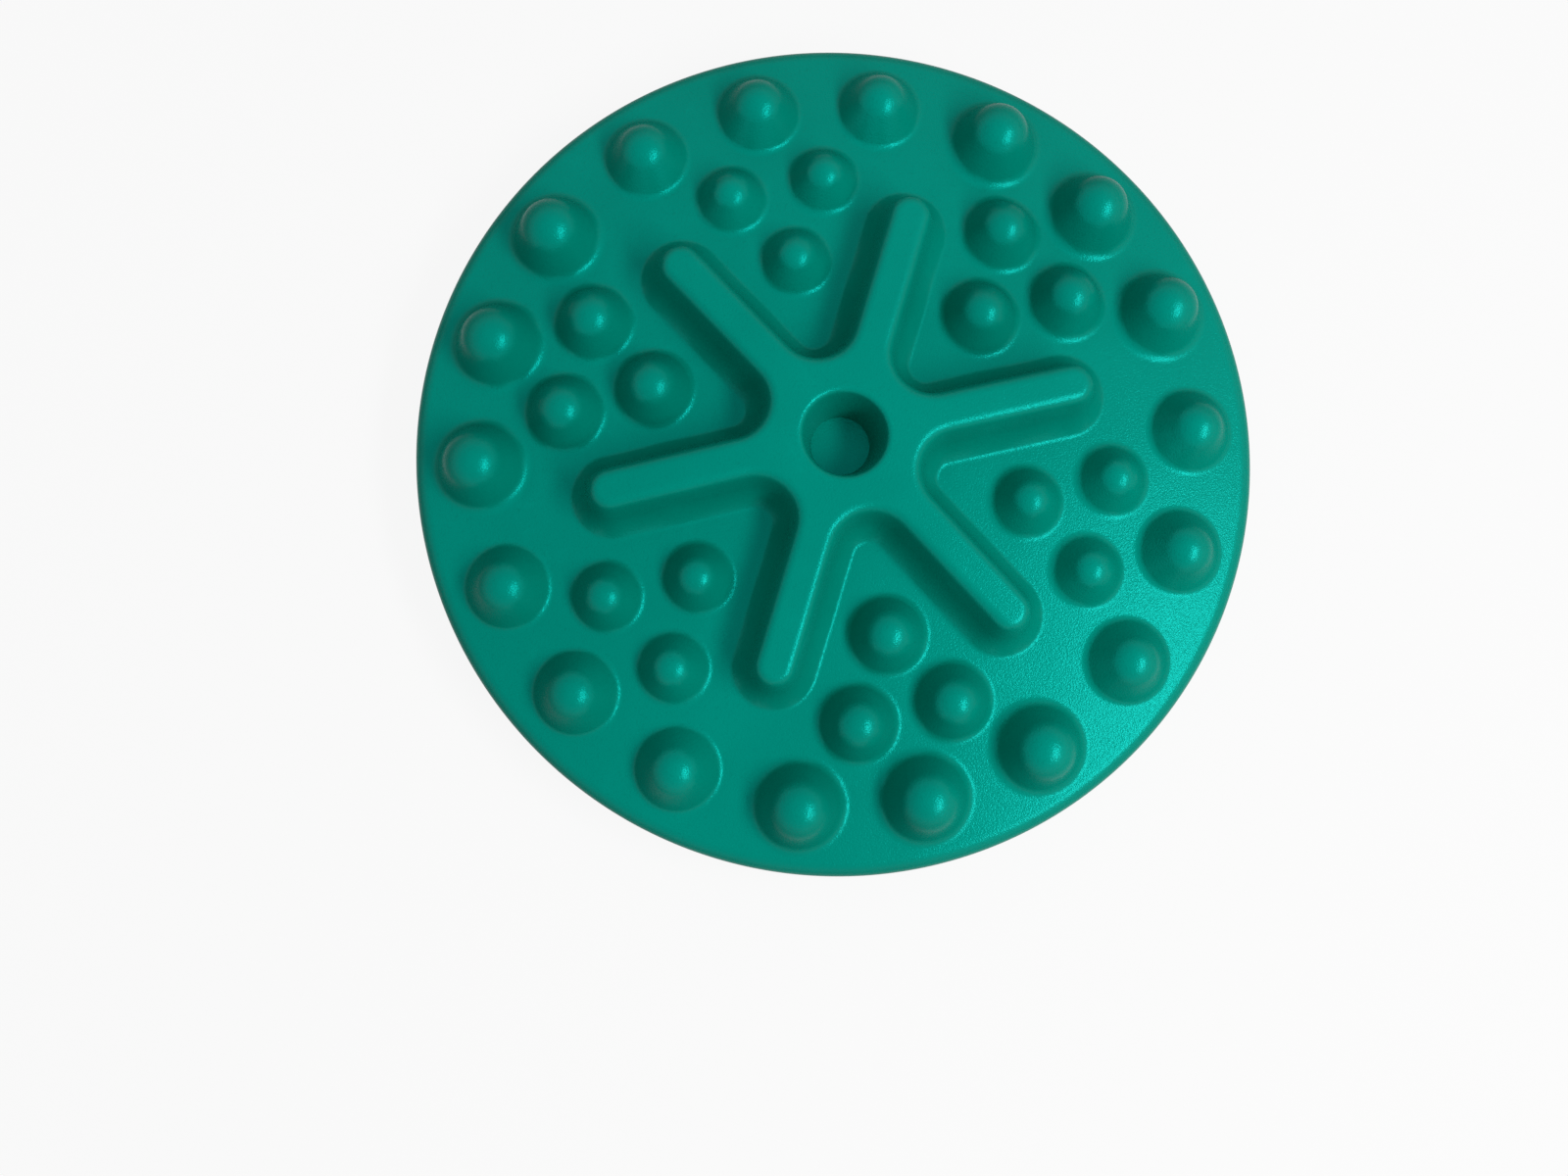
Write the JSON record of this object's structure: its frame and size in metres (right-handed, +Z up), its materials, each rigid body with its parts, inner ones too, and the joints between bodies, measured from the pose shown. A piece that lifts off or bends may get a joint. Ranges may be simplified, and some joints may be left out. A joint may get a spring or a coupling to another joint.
{
  "type": "balance pad",
  "caption": "Round air-filled balance pad with a crowned, knobbed top, a raised star with a socket in its hub, a flat underside and a stoppered valve in the rim.",
  "frame": {"origin": "middle of the flat face that the pad rests on", "axes": "+Z up, square to the resting face; +X along one arm of the star; the valve is in the rim on -Y"},
  "size_m": [0.33, 0.33, 0.0588],
  "materials": {
    "teal_vinyl": "satin, finely grained soft vinyl",
    "valve_vinyl": "smooth soft vinyl",
    "stopper_plastic": "smooth satin plastic"
  },
  "bodies": {
    "pad": {"upper_skin": "teal_vinyl", "lower_skin": "teal_vinyl", "valve_seat": "valve_vinyl"},
    "stopper": {"valve_stopper": "stopper_plastic"}
  },
  "joints": [
    {"name": "stopper_slide", "type": "slide", "parent": "pad", "child": "stopper", "axis": [0, -1, 0], "range_m": [0, 0.012]}
  ]
}
